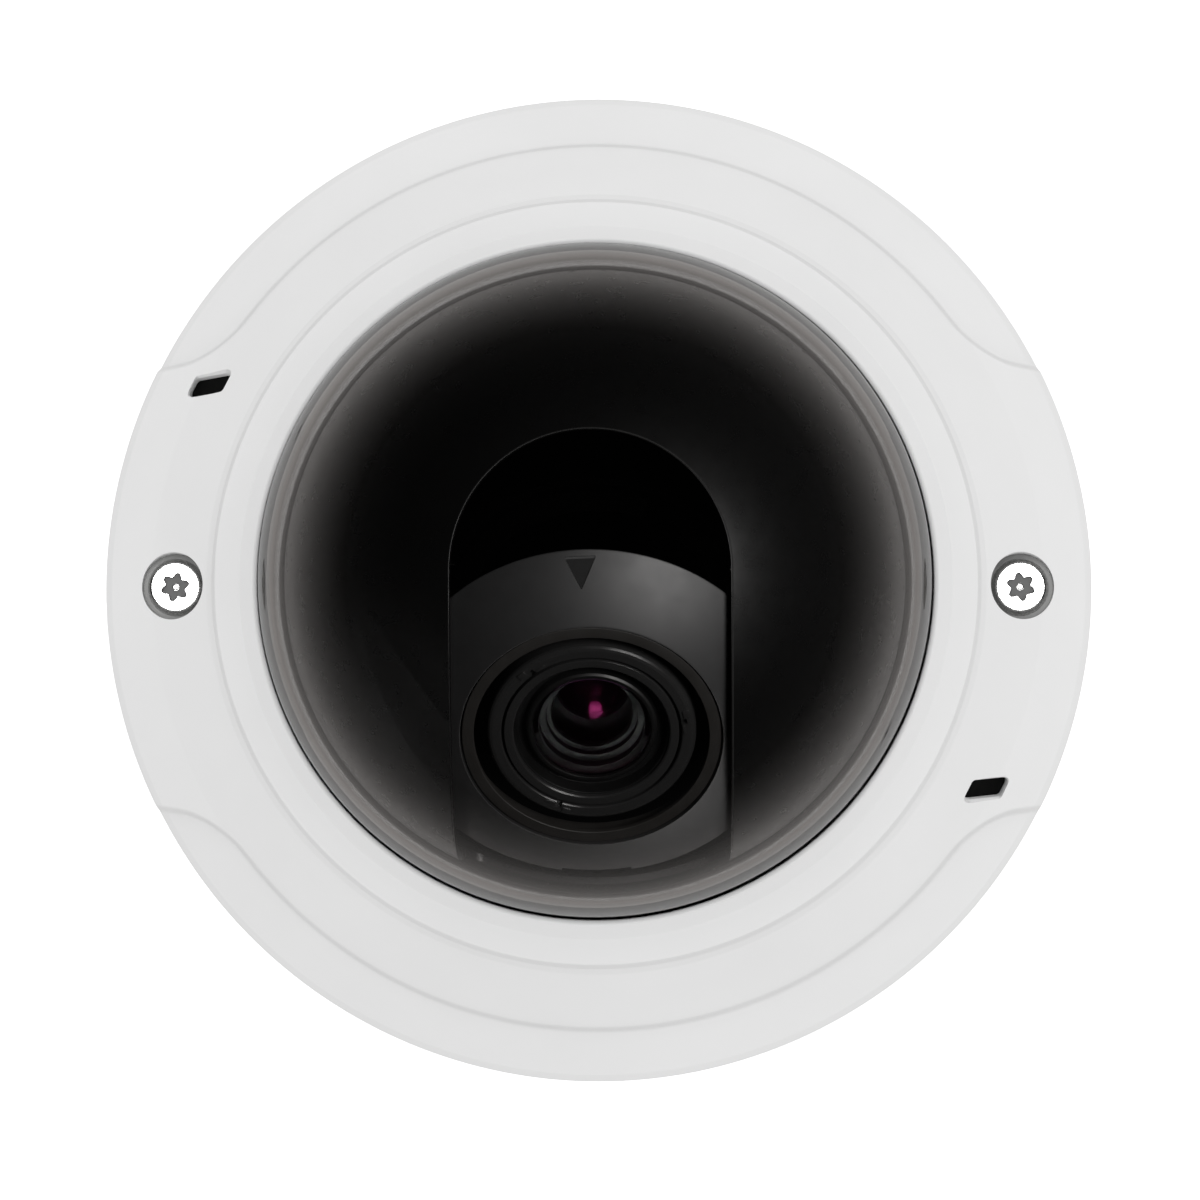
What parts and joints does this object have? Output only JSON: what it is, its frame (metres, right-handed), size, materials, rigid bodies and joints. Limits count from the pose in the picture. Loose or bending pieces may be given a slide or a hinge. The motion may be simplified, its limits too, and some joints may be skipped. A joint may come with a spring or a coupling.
{
  "type": "dome cctv camera",
  "caption": "Round surface-mounted dome security camera: stepped white cover, clear bubble, black slotted liner and a hand-aimed lens head that pans, tilts and rolls.",
  "frame": {"origin": "centre of the flat mounting face, at the bottom of the mounting plate and base rim", "axes": "+Z out of the mounting face along the dome's axis, to the top of the bubble; the lens leans toward -Y at rest; the two cover screws lie along X"},
  "size_m": [0.175, 0.175, 0.118],
  "materials": {
    "white_paint": "satin",
    "clear_polycarbonate": "gloss",
    "black_plastic": "matte",
    "grey_plastic": "satin",
    "black_trim": "satin",
    "stainless_steel": "satin",
    "zinc_steel": "satin",
    "rubber": "matte",
    "nylon": "matte",
    "circuit_board": "satin",
    "epoxy": "satin",
    "plain_aluminium": "satin",
    "coated_glass": "polished",
    "white_membrane": "matte"
  },
  "bodies": {
    "base": {"mounting_plate": "zinc_steel", "base_housing": "white_paint", "rear_gasket": "rubber", "cover_seal": "rubber", "cable_grommet": "rubber", "conduit_plug": "black_plastic", "conduit_plug_seal": "rubber", "vent_membrane": "white_membrane", "base_screw_1": "zinc_steel", "base_screw_2": "zinc_steel", "base_screw_3": "zinc_steel", "main_board": "circuit_board", "processor_chip": "epoxy", "heat_sink": "plain_aluminium", "ethernet_jack": "nylon", "io_terminal_block": "black_plastic", "audio_jack_in": "black_plastic", "audio_jack_out": "black_plastic", "memory_card_slot": "zinc_steel", "memory_card": "epoxy", "button_switch": "epoxy", "status_led": "clear_polycarbonate", "chassis_plate": "black_plastic", "chassis_screw_1": "zinc_steel", "chassis_screw_2": "zinc_steel", "chassis_screw_3": "zinc_steel"},
    "cover": {"cover_shell": "white_paint", "vent_mesh_left": "black_plastic", "vent_mesh_right": "black_plastic", "dome_bubble": "clear_polycarbonate", "bubble_gasket": "rubber", "bubble_retainer": "plain_aluminium", "retainer_screw_1": "zinc_steel", "retainer_screw_2": "zinc_steel", "retainer_screw_3": "zinc_steel", "retainer_screw_4": "zinc_steel", "screw_washer_left": "nylon", "screw_washer_right": "nylon", "cover_screw_left": "stainless_steel", "cover_screw_right": "stainless_steel"},
    "pan": {"pan_ring": "black_plastic", "tilt_yoke": "black_plastic", "dome_liner": "black_plastic", "pan_lock_screw": "stainless_steel", "tilt_pivot_pin": "stainless_steel", "tilt_lock_screw": "stainless_steel"},
    "tilt": {"tilt_cradle": "grey_plastic"},
    "head": {"lens_holder": "grey_plastic", "head_cap": "grey_plastic", "lens_trim_ring": "black_trim", "lens_barrel": "black_trim", "front_retaining_ring": "black_trim", "front_lens": "coated_glass", "inner_lens": "coated_glass", "iris_plate": "epoxy", "sensor_board": "circuit_board", "image_sensor": "epoxy"},
    "focus": {"focus_ring": "black_trim"},
    "zoom": {"zoom_ring": "black_plastic"},
    "button": {"control_button": "nylon"}
  },
  "joints": [
    {"name": "cover_lift", "type": "slide", "parent": "base", "child": "cover", "axis": [0, 0, 1], "range_m": [0, 0.12]},
    {"name": "pan_turn", "type": "hinge", "parent": "base", "child": "pan", "pos_m": [0, 0, 0.06], "axis": [0, 0, 1], "range_deg": [-175, 175]},
    {"name": "tilt_turn", "type": "hinge", "parent": "pan", "child": "tilt", "pos_m": [0, 0, 0.06], "axis": [1, 0, 0], "range_deg": [-35.5, 39.5]},
    {"name": "lens_roll", "type": "hinge", "parent": "tilt", "child": "head", "pos_m": [0, 0, 0.06], "axis": [0, -0.5807, 0.8141], "range_deg": [-170, 170]},
    {"name": "focus_turn", "type": "hinge", "parent": "head", "child": "focus", "pos_m": [0, 0, 0.06], "axis": [0, -0.5807, 0.8141], "range_deg": [-60, 60]},
    {"name": "zoom_turn", "type": "hinge", "parent": "head", "child": "zoom", "pos_m": [0, 0, 0.06], "axis": [0, -0.5807, 0.8141], "range_deg": [-38, 38]},
    {"name": "button_press", "type": "slide", "parent": "base", "child": "button", "axis": [0, 0, -1], "range_m": [0, 0.0006], "stiffness_N_per_m": 1500, "springref_m": -0.0002}
  ]
}
